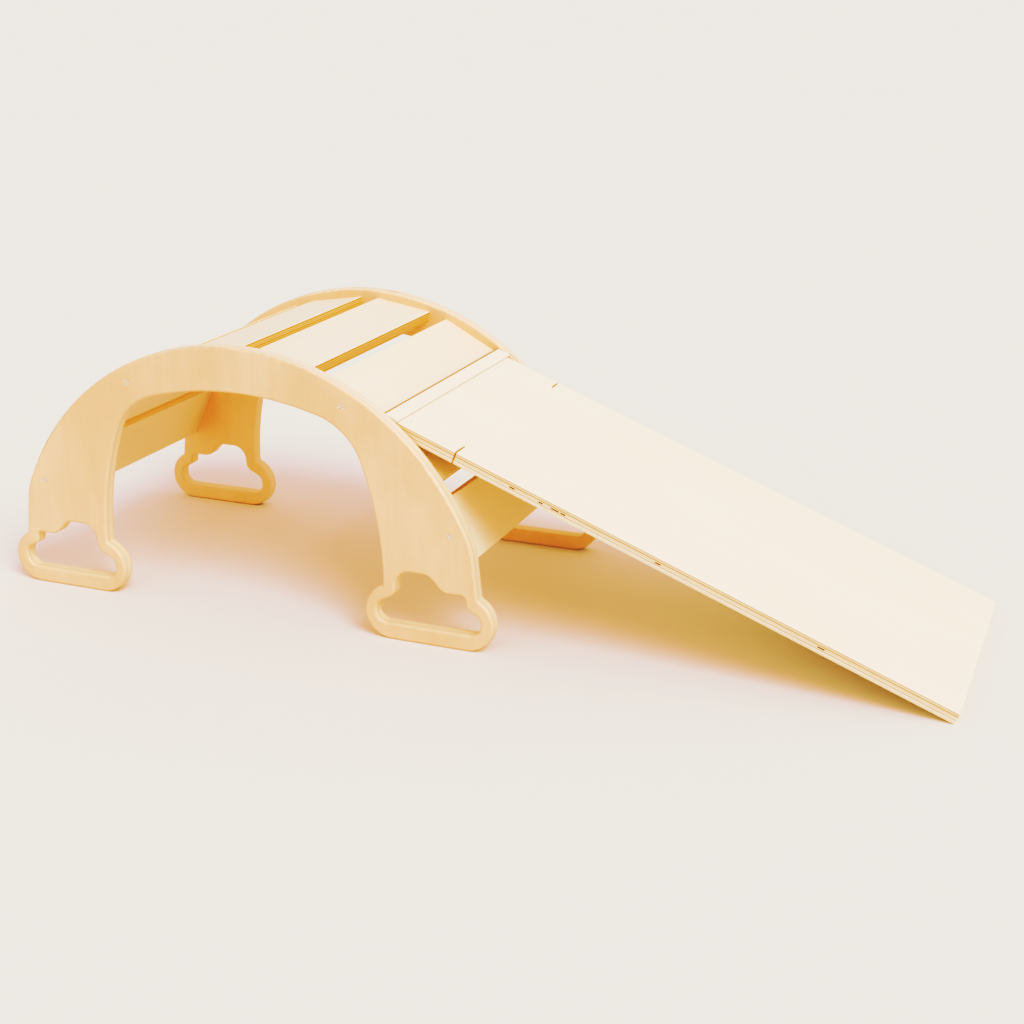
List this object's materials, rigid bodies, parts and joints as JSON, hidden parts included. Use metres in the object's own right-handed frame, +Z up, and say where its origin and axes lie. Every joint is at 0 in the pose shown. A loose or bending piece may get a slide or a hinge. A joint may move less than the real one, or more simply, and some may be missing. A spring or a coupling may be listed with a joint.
{
  "type": "toddler slide",
  "caption": "Low plywood climbing arch with cloud-shaped foot cut-outs and a slatted curved top, with a flat slide board hooked between two slats and running down to the floor.",
  "frame": {"origin": "on the floor, under the middle of the whole object's box", "axes": "+X down the slide, +Y across it towards the far side panel, +Z up"},
  "size_m": [1.1608, 0.376, 0.327],
  "materials": {
    "panel_ply": "clear-lacquered birch plywood, 18 mm, rounded edges",
    "slat_ply": "clear-lacquered birch plywood, 15 mm nominal",
    "board_ply": "clear-lacquered birch plywood, 15 mm nominal, smooth sanded",
    "cleat_birch": "clear-lacquered solid birch strip",
    "dowel_beech": "bare beech",
    "screw_steel": "yellow-passivated steel, satin"
  },
  "bodies": {
    "arch": {"side_panel_near": "panel_ply", "side_panel_far": "panel_ply", "slat_1": "slat_ply", "slat_2": "slat_ply", "slat_3": "slat_ply", "slat_4": "slat_ply", "slat_5": "slat_ply", "slat_6": "slat_ply", "slat_7": "slat_ply", "slat_8": "slat_ply", "slat_dowels_near": "dowel_beech", "slat_dowels_far": "dowel_beech", "panel_screws_near": "screw_steel", "panel_screws_far": "screw_steel"},
    "slide": {"slide_board": "board_ply", "hook_cleat": "cleat_birch", "cleat_dowels": "dowel_beech"}
  },
  "joints": [
    {"name": "slide_lift_off", "type": "slide", "parent": "arch", "child": "slide", "axis": [0.606, 0, 0.7955], "range_m": [0, 0.09]}
  ]
}
